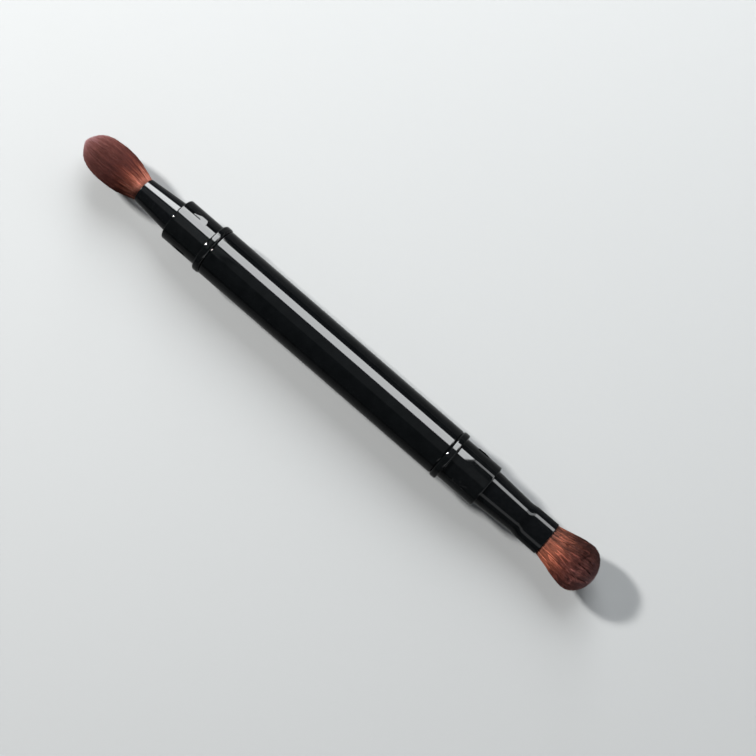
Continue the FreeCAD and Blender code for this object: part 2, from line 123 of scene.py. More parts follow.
def side_panel(name, low, high, x0, x1, radiance, color=(0.97, 0.99, 1.0)):
    """A panel beside the brush, seen from it between two angles from straight up, towards +Y."""
    half = (high - low) / 2
    joined_panels(low + half, 0.62 * math.cos(math.radians(half)), 0.0, 0.0, [(name, low, high, x0, x1, radiance)], color)


def joined_panels(facing, dist, pivot_x, roll, parts, color=(0.97, 0.99, 1.0)):
    """Panels that lie in one plane, turned in it by roll about pivot_x, so that they join without a gap."""
    f = math.radians(facing)
    out = Vector((0, math.sin(f), math.cos(f)))
    along, up = Vector((1, 0, 0)), Vector((0, math.cos(f), -math.sin(f)))
    along, up = along * math.cos(roll) - up * math.sin(roll), up * math.cos(roll) + along * math.sin(roll)
    for name, low, high, x0, x1, radiance in parts:
        lo, hi = (dist * math.tan(math.radians(a) - f) for a in (low, high))
        centre = out * dist + Vector((pivot_x, 0, 0)) + along * ((x0 + x1) / 2 - pivot_x) + up * ((lo + hi) / 2)
        ob = area_light(name, centre, centre - out, x1 - x0, hi - lo, radiance_watts(radiance, x1 - x0, hi - lo), color)
        m = Matrix((along, out.cross(along), out)).transposed().to_4x4()
        m.translation = centre
        ob.matrix_world = m


def make_light():
    world = bpy.data.worlds.new("world")
    scene.world = world
    world.use_nodes = True
    bg = world.node_tree.nodes["Background"]
    bg.inputs["Color"].default_value = (0.82, 0.92, 1.0, 1)
    bg.inputs["Strength"].default_value = 0.04
    # long soft panel: 31 to 65 degrees from straight up, as the brush sees it
    # and taller towards the small end
    joined_panels(48.35, 0.593, -0.059, math.radians(0.8), [
        ("panel_long", 31.5, 65.2, -0.1625, 0.0445, 7.3), ("panel_mid", 31.0, 65.2, -0.250, -0.1625, 7.6),
        ("panel_mid_top", 65.2, 71.5, -0.250, -0.170, 7.6)])
    side_panel("panel_far", 38.0, 79.0, -0.50, -0.254, 10.6)
    # its narrow outer parts, seen by the flared end
    side_panel("panel_strip", 56.0, 67.0, 0.048, 0.085, 2.1)
    side_panel("panel_outer", 49.5, 67.5, 0.088, 0.21, 4.2)
    side_panel("panel_tail", 51.0, 66.0, 0.213, 0.75, 2.2)
    # faint strip on the other side
    side_panel("strip_low", -60.0, -43.0, 0.075, 0.24, 0.34)
    side_panel("strip_tail", -61.0, -43.0, 0.243, 0.60, 0.34)
    side_panel("strip_far", -67.0, -50.0, 0.604, 1.35, 0.34)
    # small bright lamp behind the small tuft, 35 degrees up
    e = math.radians(35)
    area_light("lamp_end", (-0.9 * math.cos(e), -0.01, 0.9 * math.sin(e)), (0, 0, 0), 0.075, 0.11,
               radiance_watts(470.0, 0.075, 0.11), (1.0, 0.985, 0.96))
    # weak low fill from the flared end
    e = math.radians(15)
    area_light("fill_end", (0.9 * math.cos(e), 0.0, 0.9 * math.sin(e)), (0.06, 0, 0), 0.3, 1.3,
               radiance_watts(1.1, 0.3, 1.3), (0.93, 0.97, 1.0))
    # dim ceiling, a little lighter over the small end
    for name, x0, x1, radiance in (("ceiling_end", -0.62, -0.215, 0.19), ("ceiling", -0.205, 0.075, 0.075)):
        area_light(name, ((x0 + x1) / 2, 0.15, 0.9), ((x0 + x1) / 2, 0.15, 0), x1 - x0, 0.68,
                   radiance_watts(radiance, x1 - x0, 0.68), (0.93, 0.97, 1.0))


make_light()


# ------------------------------------------------------------------ material nodes
class Nodes:
    """Short hand for building one material's node tree."""

    def __init__(self, name):
        self.mat = bpy.data.materials.new(name)
        self.mat.use_nodes = True
        self.tree = self.mat.node_tree
        self.bsdf = self.tree.nodes["Principled BSDF"]

    def add(self, kind, **settings):
        node = self.tree.nodes.new(kind)
        for key, value in settings.items():
            if hasattr(node, key) and key not in node.inputs:
                setattr(node, key, value)
            else:
                node.inputs[key].default_value = value
        return node

    def link(self, out, inp):
        self.tree.links.new(out, inp)

    def object_place(self, scale=(1, 1, 1)):
        coord = self.add("ShaderNodeTexCoord")
        mapping = self.add("ShaderNodeMapping")
        mapping.inputs["Scale"].default_value = scale
        self.link(coord.outputs["Object"], mapping.inputs["Vector"])
        return mapping.outputs["Vector"]

    def noise(self, vector, scale, detail=3.0, rough=0.5, distortion=0.0):
        n = self.add("ShaderNodeTexNoise")
        n.inputs["Scale"].default_value = scale
        n.inputs["Detail"].default_value = detail
        n.inputs["Roughness"].default_value = rough
        n.inputs["Distortion"].default_value = distortion
        self.link(vector, n.inputs["Vector"])
        return n.outputs["Fac"]

    def ramp(self, value, stops, interpolation="LINEAR"):
        r = self.add("ShaderNodeValToRGB")
        ramp = r.color_ramp
        ramp.interpolation = interpolation
        while len(ramp.elements) > 1:
            ramp.elements.remove(ramp.elements[-1])
        ramp.elements[0].position = stops[0][0]
        ramp.elements[0].color = (*stops[0][1], 1)
        for at, color in stops[1:]:
            el = ramp.elements.new(at)
            el.color = (*color, 1)
        self.link(value, r.inputs["Fac"])
        return r.outputs["Color"]

    def span(self, value, a, b, lo, hi, smooth=False):
        m = self.add("ShaderNodeMapRange")
        m.interpolation_type = "SMOOTHSTEP" if smooth else "LINEAR"
        m.inputs["From Min"].default_value = a
        m.inputs["From Max"].default_value = b
        m.inputs["To Min"].default_value = lo
        m.inputs["To Max"].default_value = hi
        self.link(value, m.inputs["Value"])
        return m.outputs["Result"]

    def math(self, op, a, b=None, clamp=False):
        m = self.add("ShaderNodeMath")
        m.operation = op
        m.use_clamp = clamp
        for i, v in enumerate((a, b)):
            if v is None:
                continue
            if isinstance(v, (int, float)):
                m.inputs[i].default_value = v
            else:
                self.link(v, m.inputs[i])
        return m.outputs[0]

    def mix(self, fac, a, b, blend="MIX"):
        m = self.add("ShaderNodeMix")
        m.data_type = "RGBA"
        m.blend_type = blend
        for sock, v in zip((m.inputs[0], m.inputs[6], m.inputs[7]), (fac, a, b)):
            if isinstance(v, (int, float)):
                sock.default_value = v
            elif isinstance(v, tuple):
                sock.default_value = (*v, 1)
            else:
                self.link(v, sock)
        return m.outputs[2]

    def bump(self, height, strength, distance, normal=None):
        b = self.add("ShaderNodeBump")
        b.inputs["Strength"].default_value = strength
        b.inputs["Distance"].default_value = distance
        self.link(height, b.inputs["Height"])
        if normal is not None:
            self.link(normal, b.inputs["Normal"])
        return b.outputs["Normal"]


def gloss_black(name, dark, light, rough, streak, grain, wave):
    """Gloss black skin. rough: (low, high) roughness; streak: stretch of the fine polish lines
    as object-space scales; grain: (size of the mottling per metre, its bump); wave: bump of the lines."""
    n = Nodes(name)
    place = n.object_place()
    lines = n.noise(n.object_place(streak), 1.0, 4.0, 0.6)
    mottle = n.noise(place, grain[0], 3.0, 0.55)
    broad = n.noise(place, 110.0, 2.0, 0.5)
    n.link(n.ramp(mottle, [(0.3, dark), (0.75, light)]), n.bsdf.inputs["Base Color"])
    r = n.math("ADD", n.span(lines, 0.3, 0.7, rough[0], rough[1]), n.span(broad, 0.4, 0.7, 0.0, 0.02, smooth=True))
    n.link(r, n.bsdf.inputs["Roughness"])
    normal = n.bump(lines, 0.35, wave)
    normal = n.bump(mottle, 0.35, grain[1], normal)
    n.link(normal, n.bsdf.inputs["Normal"])
    n.bsdf.inputs["IOR"].default_value = 1.49
    edge = n.add("ShaderNodeLayerWeight")
    edge.inputs["Blend"].default_value = 0.5
    n.link(n.span(edge.outputs["Facing"], 0.235, 0.32, 0.8, 0.04, smooth=True), n.bsdf.inputs["Specular IOR Level"])
    return n


def mat_barrel():
    n = gloss_black("barrel_gloss", (0.0011, 0.0014, 0.0016), (0.0028, 0.0033, 0.0037), (0.03, 0.06),
                    (55.0, 2600.0, 2600.0), (420.0, 0.8e-6), 0.35e-6)
    return n.mat


def mat_collar():
    n = gloss_black("collar_gloss", (0.0014, 0.0017, 0.0019), (0.0034, 0.0039, 0.0042), (0.012, 0.03),
                    (900.0, 260.0, 260.0), (900.0, 0.12e-6), 0.08e-6)
    return n.mat


def mat_ferrule():
    # lacquer over drawn sheet: fine rings left by the drawing show faintly through it
    n = gloss_black("ferrule_lacquer", (0.0014, 0.0017, 0.0021), (0.0036, 0.0040, 0.0046), (0.04, 0.09),
                    (5200.0, 120.0, 120.0), (1300.0, 0.5e-6), 0.5e-6)
    return n.mat


def mat_resin():
    n = Nodes("amber_resin")
    place = n.object_place()
    cloud = n.noise(place, 700.0, 4.0, 0.6, 0.4)
    fine = n.noise(place, 3500.0, 3.0, 0.6)
    n.link(n.ramp(cloud, [(0.25, (0.16, 0.075, 0.018)), (0.55, (0.34, 0.19, 0.06)), (0.8, (0.5, 0.33, 0.14))]),
           n.bsdf.inputs["Base Color"])
    n.link(n.span(fine, 0.3, 0.7, 0.28, 0.5), n.bsdf.inputs["Roughness"])
    n.link(n.bump(fine, 0.5, 1.2e-5, n.bump(cloud, 0.4, 4e-5)), n.bsdf.inputs["Normal"])
    n.bsdf.inputs["Subsurface Weight"].default_value = 0.0
    return n.mat


def mat_hair(name, stops, tones, shine, calm, painted_shade=1.0):
    """Hair colour as a function of the strand map alone: u runs from hairs in painted shade between
    locks (0) to the fairest ones, whose brightness also stands in for highlight streaks (1), v from the ferrule's mouth
    (0) to the tuft's end (1).
    calm: (from, to, tone, grain), what is left past "to" of the differences in tone and grain."""
    n = Nodes(name)
    uv = n.add("ShaderNodeUVMap")
    uv.uv_map = "OFBake"
    split = n.add("ShaderNodeSeparateXYZ")
    n.link(uv.outputs["UV"], split.inputs[0])
    u, v = split.outputs[0], split.outputs[1]

    def strand_noise(fu, fv, offset, detail=2.0):
        join = n.add("ShaderNodeCombineXYZ")
        n.link(n.math("MULTIPLY", u, fu), join.inputs[0])
        n.link(n.math("ADD", n.math("MULTIPLY", v, fv), offset), join.inputs[1])
        return n.noise(join.outputs[0], 1.0, detail, 0.55)

    each = strand_noise(190.0, 1.2, 3.7, 1.0)       # differs from hair to hair
    fleck = strand_noise(140.0, 26.0, 1.3, 2.0)     # uneven dye along a hair
    color = n.ramp(n.math("ADD", v, n.span(each, 0.2, 0.8, -0.05, 0.05), clamp=True), stops, "EASE")
    # the last argument darkens a whole copy of the colour: painted shade for the heart of a tuft
    bright = n.ramp(u, [(at, (t * painted_shade, t * painted_shade, t * painted_shade)) for at, t in tones], "EASE")
    vary = n.math("MULTIPLY", n.span(each, 0.25, 0.75, 0.8, 1.2), n.span(fleck, 0.25, 0.75, 0.84, 1.16))
    join = n.add("ShaderNodeCombineColor")
    for i in range(3):
        n.link(vary, join.inputs[i])
    even = (painted_shade, painted_shade, painted_shade)
    bright = n.mix(n.span(v, calm[0], calm[1], 1.0, calm[2], smooth=True), even, bright)
    grain = n.mix(n.span(v, calm[0], calm[1], 1.0, calm[3], smooth=True), (1.0, 1.0, 1.0), join.outputs[0])
    color = n.mix(1.0, color, bright, "MULTIPLY")
    color = n.mix(1.0, color, grain, "MULTIPLY")
    n.link(color, n.bsdf.inputs["Base Color"])
    n.link(n.span(fleck, 0.2, 0.8, shine[0], shine[1]), n.bsdf.inputs["Roughness"])
    n.bsdf.inputs["IOR"].default_value = 1.5
    n.bsdf.inputs["Specular IOR Level"].default_value = shine[2]
    n.bsdf.inputs["Sheen Weight"].default_value = shine[3]
    n.bsdf.inputs["Sheen Roughness"].default_value = 0.4
    n.bsdf.inputs["Sheen Tint"].default_value = (1.0, 0.72, 0.74, 1)
    return n.mat


# ------------------------------------------------------------------ turned pieces
def rounded(corners, skirt=0.06, longest=2.5):
    """Closed outline in (x, r) from corners (x, r, fillet). Each corner becomes an arc with a
    supporting point on either side, and no span stays longer than longest."""
    pts = []
    n = len(corners)
    for i in range(n):
        p = np.array(corners[i][:2], float)
        f = corners[i][2]
        u = np.array(corners[i - 1][:2], float) - p
        v = np.array(corners[(i + 1) % n][:2], float) - p
        lu, lv = np.linalg.norm(u), np.linalg.norm(v)
        u, v = u / lu, v / lv
        if f <= 0:
            pts.append(p)
            continue
        half = math.acos(max(-1.0, min(1.0, float(u @ v)))) / 2
        t = min(f / math.tan(half), lu * 0.49, lv * 0.49)
        f = t * math.tan(half)
        mid = (u + v) / np.linalg.norm(u + v)
        c = p + mid * (f / math.sin(half))
        a, b = p + u * t - c, p + v * t - c
        sweep = math.pi - 2 * half
        steps = 3 + int(f * 10)
        sk = min(skirt, (lu - 2 * t) * 0.3 if lu > 2 * t else 0, (lv - 2 * t) * 0.3 if lv > 2 * t else 0)
        if sk > 1e-3:
            pts.append(p + u * (t + sk))
        for k in range(steps + 1):
            w = sweep * k / steps
            pts.append(c + (a * math.sin(sweep - w) + b * math.sin(w)) / math.sin(sweep))
        if sk > 1e-3:
            pts.append(p + v * (t + sk))
    out = []
    for i, p in enumerate(pts):
        q = pts[(i + 1) % len(pts)]
        out.append(p)
        gap = np.linalg.norm(q - p)
        if gap > longest:
            m = int(math.ceil(gap / longest))
            out += [p + (q - p) * k / m for k in range(1, m)]
    out = np.array(out)
    area = 0.5 * np.sum(out[:, 0] * np.roll(out[:, 1], -1) - np.roll(out[:, 0], -1) * out[:, 1])
    return out[::-1] if area > 0 else out       # outside runs towards +x


def ring_mesh(name, grid, along, around):
    """Closed surface from a grid of points [outline, turn, 3] in mm, closed both ways.
    along and around are the map's places of the rows and columns, one longer than the grid."""
    rows, cols = grid.shape[:2]
    i, j = np.meshgrid(np.arange(rows), np.arange(cols), indexing="ij")
    i2, j2 = (i + 1) % rows, (j + 1) % cols
    faces = np.stack([i * cols + j, i2 * cols + j, i2 * cols + j2, i * cols + j2], -1).reshape(-1, 4)
    me = bpy.data.meshes.new(name)
    me.vertices.add(rows * cols)
    me.vertices.foreach_set("co", (grid.reshape(-1, 3) * MM).astype(np.float32).ravel())
    me.loops.add(len(faces) * 4)
    me.loops.foreach_set("vertex_index", faces.astype(np.int32).ravel())
    me.polygons.add(len(faces))
    me.polygons.foreach_set("loop_start", (np.arange(len(faces)) * 4).astype(np.int32))
    me.polygons.foreach_set("loop_total", np.full(len(faces), 4, np.int32))
    me.polygons.foreach_set("use_smooth", np.ones(len(faces), bool))
    me.update(calc_edges=True)
    layer = me.uv_layers.new(name="OFBake")
    u = np.stack([along[i], along[i + 1], along[i + 1], along[i]], -1)
    v = np.stack([around[j], around[j], around[j + 1], around[j + 1]], -1)
    layer.uv.foreach_set("vector", np.stack([u, v], -1).astype(np.float32).ravel())
    me.validate()
    ob = bpy.data.objects.new(name, me)
    scene.collection.objects.link(ob)
    return ob


def turned(name, outline, angles, place):
    """Turn a closed outline (x, r) about X. place(x, r, angle) gives the points."""
    x = outline[:, 0][:, None] + 0 * angles[None, :]
    r = outline[:, 1][:, None] + 0 * angles[None, :]
    a = angles[None, :] + 0 * x
    grid = place(x, r, a)
    step = np.linalg.norm(np.roll(outline, -1, 0) - outline, axis=1)
    along = np.concatenate([[0], np.cumsum(step)]) / step.sum()
    around = np.append(angles - angles[0], 2 * math.pi) / (2 * math.pi)
    return ring_mesh(name, grid, along, around)


def plain_place(x, r, a):
    return np.stack([x, r * np.sin(a), r * np.cos(a)], -1)


def finish_piece(ob, node, mat):
    ob.data.materials.append(mat)
    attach(ob, "root")
    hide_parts(node)
    return ob


FULL = np.linspace(0, 2 * math.pi, 192, endpoint=False)
HALF = 32.7                     # half the barrel's length, where each end piece starts


def make_barrel(mat):
    corners = [
        (-HALF, 4.7, 0.0), (-HALF, 5.7, 0.3), (HALF, 5.7, 0.3), (HALF, 4.7, 0.0),
        (HALF - 0.2, 4.5, 0.0), (-HALF + 0.2, 4.5, 0.0),
    ]
    ob = turned("barrel", rounded(corners), FULL, plain_place)
    return finish_piece(ob, "barrel_tube", mat)


def make_collar(side, first_nub, socket_r, mat):
    """Bead ring, neck with three snap nubs, socket and spigot. Local x runs outwards from the barrel's end."""
    neck_r, bead_r, end = 5.15, 5.95, 11.15
    corners = [
        (-12.0, 3.2, 0.08), (-12.0, 4.2, 0.1), (-11.4, 4.5, 0.1), (0.0, 4.5, 0.0),
        (0.0, bead_r, 0.6), (1.75, bead_r, 0.6), (1.75, neck_r, 0.15),
        (end, neck_r, 0.3), (end, socket_r + 0.1, 0.0),
        (end - 0.1, socket_r, 0.0), (end - 9.0, socket_r, 0.0), (end - 9.0, 3.2, 0.0),
    ]
    outline = rounded(corners, longest=2.2)
    # extra rings under the nubs
    extra = np.concatenate([[3.95, 4.1], np.arange(4.25, 5.05, 0.05), np.arange(5.1, 6.05, 0.2), np.arange(6.1, 6.65, 0.1),
                            np.arange(6.8, 7.85, 0.2), np.arange(7.9, 8.55, 0.1), [8.7, 8.9]])
    keep, rows = [], list(outline)
    for k, p in enumerate(rows):
        q = rows[(k + 1) % len(rows)]
        on_neck = abs(p[1] - neck_r) < 1e-6 and abs(q[1] - neck_r) < 1e-6
        if not (abs(p[1] - neck_r) < 1e-6 and 3.9 < p[0] < 9.0):
            keep.append(p)
        if on_neck:
            lo, hi = min(p[0], q[0]), max(p[0], q[0])
            more = [e for e in extra if lo < e <= hi] if q[0] > p[0] else [e for e in extra[::-1] if lo <= e < hi]
            keep += [np.array((e, neck_r)) for e in more]
    outline = np.array(keep)
    # nub angles in the world, from straight up towards +Y
    nubs = [math.radians(first_nub + 120 * k) for k in range(3)]
    base = np.radians(np.arange(0, 360, 2.0))
    fine = []
    for c in nubs:
        base = np.array([b for b in base if abs((b - c + math.pi) % (2 * math.pi) - math.pi) > math.radians(11.5)])
        fine += [c + math.radians(d) for d in np.arange(-11.4, 11.5, 0.5)]
    angles = np.sort(np.concatenate([base, np.array(fine) % (2 * math.pi)]))
    soft = 0.022                        # how far the nubs' edges are eased

    def least(a, b):
        t = np.clip(0.5 + 0.5 * (b - a) / soft, 0, 1)
        return b * (1 - t) + a * t - soft * t * (1 - t)

    def most(a, b):
        return -least(-a, -b)

    def place(x, r, a):
        # along the brush: steep behind, long lead-in ramp in front
        bends = [4.45, 4.85, 6.5, 8.25], [neck_r - 0.06, neck_r + 0.205, neck_r + 0.205, neck_r - 0.01]
        top = sum(np.interp(x + s, *bends) for s in (-0.12, -0.08, -0.04, 0.0, 0.04, 0.08, 0.12)) / 7
        nub, dent = np.full_like(r, -10.0), np.zeros_like(r)
        for c in nubs:
            # round the neck: a long flat flank up to the crest, then a short steep one
            d = -np.degrees((a - c + math.pi) % (2 * math.pi) - math.pi)
            near = np.abs(d) < 14
            flank = (neck_r * math.cos(math.radians(4.9))) / np.cos(np.radians(np.clip(d + 11.6, -30, 40)))
            flank = np.where(d < -11.6, neck_r - 0.2, flank)
            back = neck_r + (9.8 - d) * 0.075
            # a shallow sink runs along the foot of the lead-in
            sink = 0.055 * np.exp(-((d + 4.4) / 1.2) ** 2) * smooth((x - 6.15) / 0.35) * smooth((8.25 - x) / 0.3)
            nub = np.maximum(nub, np.where(near, least(least(flank, back), top) - sink, -10.0))
            dent = np.where(near, np.maximum(dent, sink), dent)
        nub = np.where((x > 4.3) & (x < 8.45), nub, -10.0)
        on = (np.abs(r - neck_r) < 1e-6) & (nub > 0)
        r = np.where(on, most(nub, r - dent), r)
        xx = HALF + x
        if side == "a":
            return np.stack([-xx, r * np.sin(-a), r * np.cos(-a)], -1)
        return np.stack([xx, r * np.sin(a), r * np.cos(a)], -1)

    ob = turned("collar_%s_moulding" % side, outline, angles, place)
    return finish_piece(ob, "collar_" + side, mat)


def make_ferrule_a(mat):
    back, neck, mouth = -34.85, -43.85, -53.45
    corners = [
        (mouth, 2.98, 0.1), (neck, 3.85, 0.0), (back, 3.85, 0.05), (back, 3.55, 0.05),
        (neck, 3.55, 0.0), (mouth, 2.68, 0.1),
    ]
    ob = turned("ferrule_a_cone", rounded(corners, longest=1.2), FULL, plain_place)
    return finish_piece(ob, "ferrule_a", mat)


def smooth(t):
    t = np.clip(t, 0, 1)
    return t * t * (3 - 2 * t)


def ferrule_b_axes(x):
    """Outside half widths (Y, Z) of ferrule b at x."""
    neck, pinch, oval, mouth = 43.85, 53.3, 55.55, 60.55
    cone = np.interp(x, [neck, pinch], [4.35, 3.8])
    # a faint ridge where the press has pinched the tube
    cone = cone + 0.03 * np.exp(-((x - pinch + 0.05) / 0.22) ** 2)
    t = smooth((x - pinch) / (oval - pinch))
    wide = cone * (1 - t) + (4.0 + 0.02 * np.clip((x - oval) / 5, 0, 1)) * t
    thin = cone * (1 - t) + 3.0 * t
    return wide, thin


def make_ferrule_b(mat):
    back, neck, mouth = 34.85, 43.85, 60.55
    # here r is the depth under the outside: 0 outside, -0.3 inside
    corners = [(back, 0.0, 0.05), (neck, 0.0, 0.0), (mouth, 0.0, 0.1), (mouth, -0.3, 0.1), (back, -0.3, 0.05)]
    outline = rounded(corners, longest=0.3)
    # rings stay close only round the pinch
    plain = [abs(r) < 1e-9 or abs(r + 0.3) < 1e-9 for r in outline[:, 1]]
    outline = outline[[k for k in range(len(outline)) if not plain[k] or 52.7 < outline[k, 0] < 56.2 or k % 4 == 0]]

    def place(x, r, a):
        wide, thin = ferrule_b_axes(np.clip(x, back, mouth))
        flat = np.where(x < neck, 1.0, 0.0)
        wide = np.where(flat > 0, 4.35, wide)
        thin = np.where(flat > 0, 4.35, thin)
        return np.stack([x, (wide + r) * np.sin(a), (thin + r) * np.cos(a)], -1)

    ob = turned("ferrule_b_tube", outline, FULL, place)
    return finish_piece(ob, "ferrule_b", mat)


# ------------------------------------------------------------------ hair
def cubic(xs, ys):
    """Natural cubic spline through the points, as a function of an array."""
    xs, ys = np.array(xs, float), np.array(ys, float)
    n = len(xs)
    h = np.diff(xs)
    a = np.zeros((n, n))
    b = np.zeros(n)
    a[0, 0] = a[-1, -1] = 1
    for i in range(1, n - 1):
        a[i, i - 1], a[i, i], a[i, i + 1] = h[i - 1], 2 * (h[i - 1] + h[i]), h[i]
        b[i] = 6 * ((ys[i + 1] - ys[i]) / h[i] - (ys[i] - ys[i - 1]) / h[i - 1])
    m = np.linalg.solve(a, b)

    def f(x):
        x = np.asarray(x, float)
        k = np.clip(np.searchsorted(xs, x) - 1, 0, n - 2)
        t0, t1 = xs[k + 1] - x, x - xs[k]
        hk = h[k]
        return (m[k] * t0 ** 3 + m[k + 1] * t1 ** 3) / (6 * hk) + (ys[k] / hk - m[k] * hk / 6) * t0 \
            + (ys[k + 1] / hk - m[k + 1] * hk / 6) * t1
    return f


class Tuft:
    """Form of one hair bundle. d is the distance from the ferrule's mouth in mm."""

    def __init__(self, mouth, way, outline, uncut, thin, lean):
        self.mouth, self.way = mouth, way
        self.length = outline[-1][0]
        d = [p[0] for p in outline]
        self._p2 = cubic(d, [p[1] ** 2 for p in outline])       # squared, so that the end is round
        self._q = cubic([p[0] for p in uncut], [p[1] for p in uncut])
        self.thin_at, self.lean_at = thin, lean

    def outer(self, d):
        return np.sqrt(np.maximum(self._p2(np.clip(d, -8, self.length)), 0.0))

    def uncut(self, d):
        return np.maximum(self._q(d), self.outer(d) * 1.0001)

    def point(self, d, r, theta):
        y = r * np.sin(theta) + np.interp(d, [0, self.length], [0, self.lean_at])
        z = r * np.cos(theta) * np.interp(d, [0.0, 1.5], self.thin_at)
        return np.stack([self.mouth + self.way * d, y, z], -1)


TUFT_A = Tuft(
    -53.45, -1,
    [(-8, 2.6), (-0.6, 2.60), (0.0, 2.68), (1.0, 3.06), (2.35, 3.48), (4.55, 4.05), (6.75, 4.39), (8.95, 4.50),
     (11.2, 4.36), (13.4, 3.86), (14.5, 3.32), (15.7, 2.22), (16.45, 1.14), (16.95, 0.0)],
    [(-8, 2.6), (-0.6, 2.60), (0.0, 2.68), (1.0, 3.06), (2.35, 3.48), (4.55, 4.05), (6.75, 4.39), (8.95, 4.51),
     (11.2, 4.42), (13.4, 4.1), (15.0, 3.7), (16.0, 3.4), (16.85, 3.1), (17.6, 2.8)],
    (1.0, 1.0), 0.0)

TUFT_B = Tuft(
    60.55, 1,
    [(-8, 3.6), (-0.6, 3.64), (0.0, 3.70), (0.6, 3.80), (1.36, 3.94), (3.45, 4.39), (5.5, 4.93), (7.55, 5.30),
     (9.0, 5.43), (9.95, 5.24), (11.1, 4.54), (12.0, 3.46), (12.65, 2.05), (13.0, 0.0)],
    [(-8, 3.6), (-0.6, 3.64), (0.0, 3.70), (0.6, 3.80), (1.36, 3.94), (3.45, 4.39), (5.5, 4.95), (7.55, 5.38),
     (9.0, 5.62), (10.5, 5.76), (12.45, 5.84), (13.4, 5.86)],
    (0.735, 0.74), -0.2)


class Locks:
    """Locks of a tuft: hairs that lie together, with one lean, height, tone and length."""

    def __init__(self, rng, number, tilt, play, bend, tone, shift, swirl=0.0, streaks=()):
        self.number = number
        self.theta = (np.arange(number) + rng.uniform(-0.42, 0.42, number)) / number * 2 * math.pi
        self.tilt = rng.normal(swirl, tilt, number)
        self.play = rng.normal(0, play, number)
        self.bend = rng.normal(0, bend, number)
        self.freq = rng.uniform(0.35, 0.9, number)
        self.phase = rng.uniform(0, 2 * math.pi, number)
        self.tone = np.clip(rng.normal(0, 1, number), -2, 2) * tone
        self.shift = rng.normal(0, shift, number)
        # fair hairs of a lock lie on top from rise to fall (mm from the mouth), and run under it elsewhere
        self.fair = np.ones(number)
        self.rise = rng.uniform(-1.0, 8.0, number)
        self.fall = self.rise + rng.uniform(2.0, 6.5, number)
        for angle, rise, fall, share in streaks:
            near = np.abs((self.theta - math.radians(angle) + math.pi) % (2 * math.pi) - math.pi)
            i = np.argmin(near)
            self.fair[i], self.rise[i], self.fall[i] = share, rise, fall


